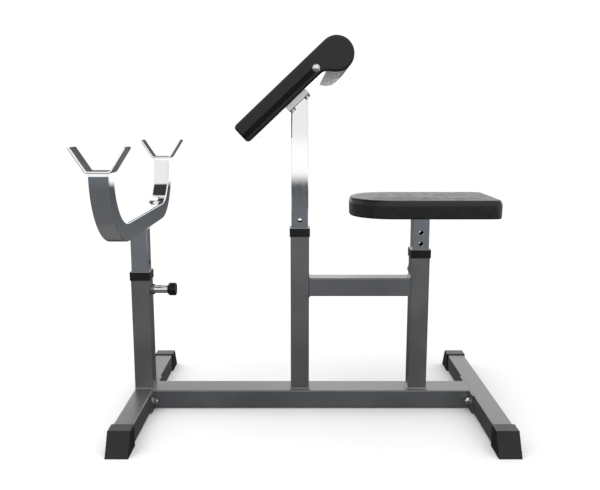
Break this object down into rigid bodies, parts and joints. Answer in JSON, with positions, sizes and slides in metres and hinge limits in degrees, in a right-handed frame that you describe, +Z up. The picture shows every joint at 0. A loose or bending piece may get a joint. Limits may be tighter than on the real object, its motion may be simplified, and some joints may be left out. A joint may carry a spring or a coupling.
{
  "type": "preacher curl bench",
  "caption": "Preacher curl bench with a sloped arm pad, a seat and a forked bar rest, each on a height-adjustable post locked by a spring pull pin, on a bolted steel base.",
  "frame": {"origin": "on the floor, below the middle of the outline of the bench at rest", "axes": "+X along the base from the bar rest to the seat, +Y to the right hand of the person on the seat, +Z up"},
  "size_m": [1.0204, 0.744, 0.969],
  "materials": {
    "frame_paint": "satin powder coat",
    "chrome": "polished",
    "zinc": "bright zinc plate",
    "black_plastic": "fine grain",
    "vinyl": "grained black vinyl",
    "plywood": "black film face"
  },
  "bodies": {
    "frame": {"base_beam": "frame_paint", "cross_brace": "frame_paint", "frame_bolts": "zinc", "frame_nuts": "zinc", "frame_washers": "zinc", "front_collar": "black_plastic", "front_end_plate": "frame_paint", "front_foot": "frame_paint", "front_foot_cap_left": "black_plastic", "front_foot_cap_right": "black_plastic", "front_pin_barrel": "zinc", "front_pin_boss": "frame_paint", "front_pin_spring": "zinc", "front_upright": "frame_paint", "pad_collar": "black_plastic", "pad_pin_barrel": "zinc", "pad_pin_boss": "frame_paint", "pad_pin_spring": "zinc", "pad_upright": "frame_paint", "rear_end_plate": "frame_paint", "rear_foot": "frame_paint", "rear_foot_cap_left": "black_plastic", "rear_foot_cap_right": "black_plastic", "seat_collar": "black_plastic", "seat_pin_barrel": "zinc", "seat_pin_boss": "frame_paint", "seat_pin_spring": "zinc", "seat_upright": "frame_paint"},
    "bar_rest": {"bar_post": "chrome", "bar_fork": "chrome", "bar_cradle_left": "chrome", "bar_cradle_right": "chrome"},
    "arm_pad": {"pad_post": "chrome", "pad_plate": "zinc", "pad_bolts": "zinc", "pad_washers": "zinc", "pad_tee_nuts": "zinc", "pad_board": "plywood", "pad_cushion": "vinyl", "pad_trim": "black_plastic", "pad_studs": "chrome"},
    "seat": {"seat_post": "chrome", "seat_plate": "zinc", "seat_bolts": "zinc", "seat_washers": "zinc", "seat_tee_nuts": "zinc", "seat_board": "plywood", "seat_cushion": "vinyl"},
    "front_pin": {"front_pull_pin": "zinc", "front_pin_knob": "black_plastic"},
    "pad_pin": {"pad_pull_pin": "zinc", "pad_pin_knob": "black_plastic"},
    "seat_pin": {"seat_pull_pin": "zinc", "seat_pin_knob": "black_plastic"}
  },
  "joints": [
    {"name": "bar_height", "type": "slide", "parent": "frame", "child": "bar_rest", "axis": [0, 0, 1], "range_m": [-0.076, 0.152]},
    {"name": "pad_height", "type": "slide", "parent": "frame", "child": "arm_pad", "axis": [0, 0, 1], "range_m": [-0.09, 0.09]},
    {"name": "seat_height", "type": "slide", "parent": "frame", "child": "seat", "axis": [0, 0, 1], "range_m": [-0.09, 0.09]},
    {"name": "front_pin_pull", "type": "slide", "parent": "frame", "child": "front_pin", "axis": [1, 0, 0], "range_m": [0, 0.01], "stiffness_N_per_m": 2000, "springref_m": -0.006, "deforming": ["front_pin_spring"]},
    {"name": "pad_pin_pull", "type": "slide", "parent": "frame", "child": "pad_pin", "axis": [0, 1, 0], "range_m": [0, 0.01], "stiffness_N_per_m": 2000, "springref_m": -0.006, "deforming": ["pad_pin_spring"]},
    {"name": "seat_pin_pull", "type": "slide", "parent": "frame", "child": "seat_pin", "axis": [0, 1, 0], "range_m": [0, 0.01], "stiffness_N_per_m": 2000, "springref_m": -0.006, "deforming": ["seat_pin_spring"]}
  ]
}
